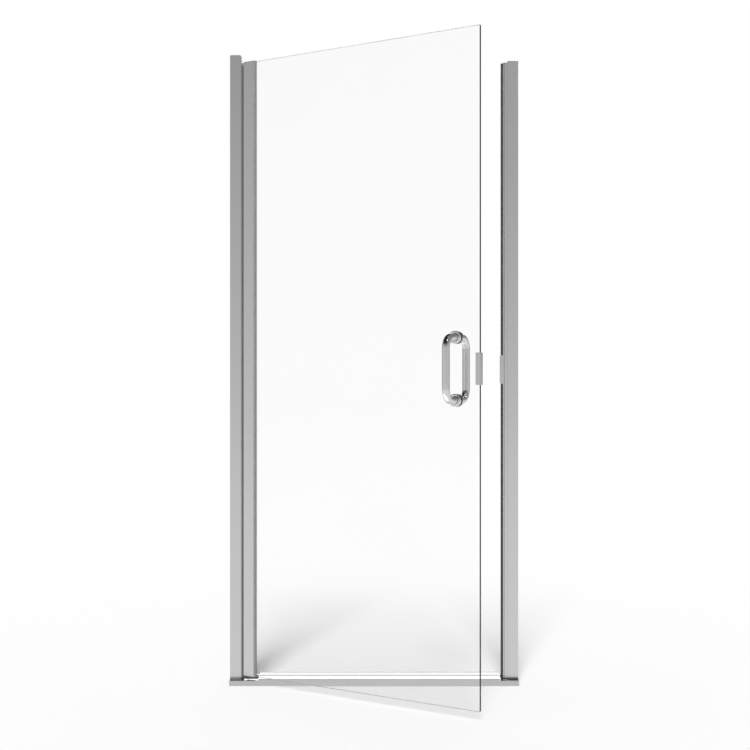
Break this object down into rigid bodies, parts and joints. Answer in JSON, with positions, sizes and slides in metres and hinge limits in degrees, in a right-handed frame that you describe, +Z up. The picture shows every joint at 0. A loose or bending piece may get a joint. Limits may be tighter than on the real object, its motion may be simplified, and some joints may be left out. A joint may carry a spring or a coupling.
{
  "type": "hinged shower door",
  "caption": "Frameless-top glass shower door that swings on a full-length hinge stile between two wall jambs over a sill, with back-to-back D pulls and a magnetic catch.",
  "frame": {"origin": "centre of the sill's underside, midway between the walls", "axes": "+X from the hinge wall to the strike wall, +Y into the shower, +Z up"},
  "size_m": [0.838, 0.4219, 1.829],
  "materials": {
    "anodised_aluminium": "satin",
    "grey_nylon": "satin",
    "dark_acetal": "satin",
    "black_rubber": "matte",
    "grey_vinyl": "satin",
    "clear_vinyl": "gloss",
    "polished_chrome": "polished",
    "satin_chrome": "satin",
    "nickel_plate": "polished",
    "stainless_steel": "brushed",
    "clear_glass": "polished"
  },
  "bodies": {
    "frame": {"sill": "anodised_aluminium", "hinge_wall_jamb": "anodised_aluminium", "hinge_post": "anodised_aluminium", "hinge_bearing_strip": "dark_acetal", "hinge_top_bushing": "grey_nylon", "hinge_thrust_block": "dark_acetal", "hinge_jamb_cap": "grey_nylon", "hinge_foot_gasket": "black_rubber", "hinge_post_screws": "stainless_steel", "strike_wall_jamb": "anodised_aluminium", "strike_post": "anodised_aluminium", "strike_jamb_cap": "grey_nylon", "strike_post_cap": "grey_nylon", "strike_foot_gasket": "black_rubber", "strike_post_screws": "stainless_steel", "strike_seal_upper": "black_rubber", "strike_seal_lower": "black_rubber", "strike_keeper": "satin_chrome", "strike_magnet": "nickel_plate", "strike_keeper_screws": "stainless_steel"},
    "door": {"glass_panel": "clear_glass", "door_stile": "anodised_aluminium", "glazing_gasket": "grey_vinyl", "glazing_wedge": "grey_vinyl", "stile_top_cap": "grey_nylon", "stile_bottom_cap": "dark_acetal", "front_pull": "polished_chrome", "rear_pull": "polished_chrome", "pull_set_screws": "stainless_steel", "latch_body": "satin_chrome", "latch_liner": "clear_vinyl", "latch_magnet": "nickel_plate", "latch_set_screws": "stainless_steel", "pull_collar_front_upper": "polished_chrome", "pull_collar_rear_upper": "polished_chrome", "pull_pad_front_upper": "black_rubber", "pull_pad_rear_upper": "black_rubber", "pull_stud_upper": "stainless_steel", "glass_sleeve_upper": "clear_vinyl", "pull_collar_front_lower": "polished_chrome", "pull_collar_rear_lower": "polished_chrome", "pull_pad_front_lower": "black_rubber", "pull_pad_rear_lower": "black_rubber", "pull_stud_lower": "stainless_steel", "glass_sleeve_lower": "clear_vinyl"}
  },
  "joints": [
    {"name": "door_swing", "type": "hinge", "parent": "frame", "child": "door", "pos_m": [-0.38162, -0.0115, 0], "axis": [0, 0, -1], "range_deg": [-28, 72]}
  ]
}
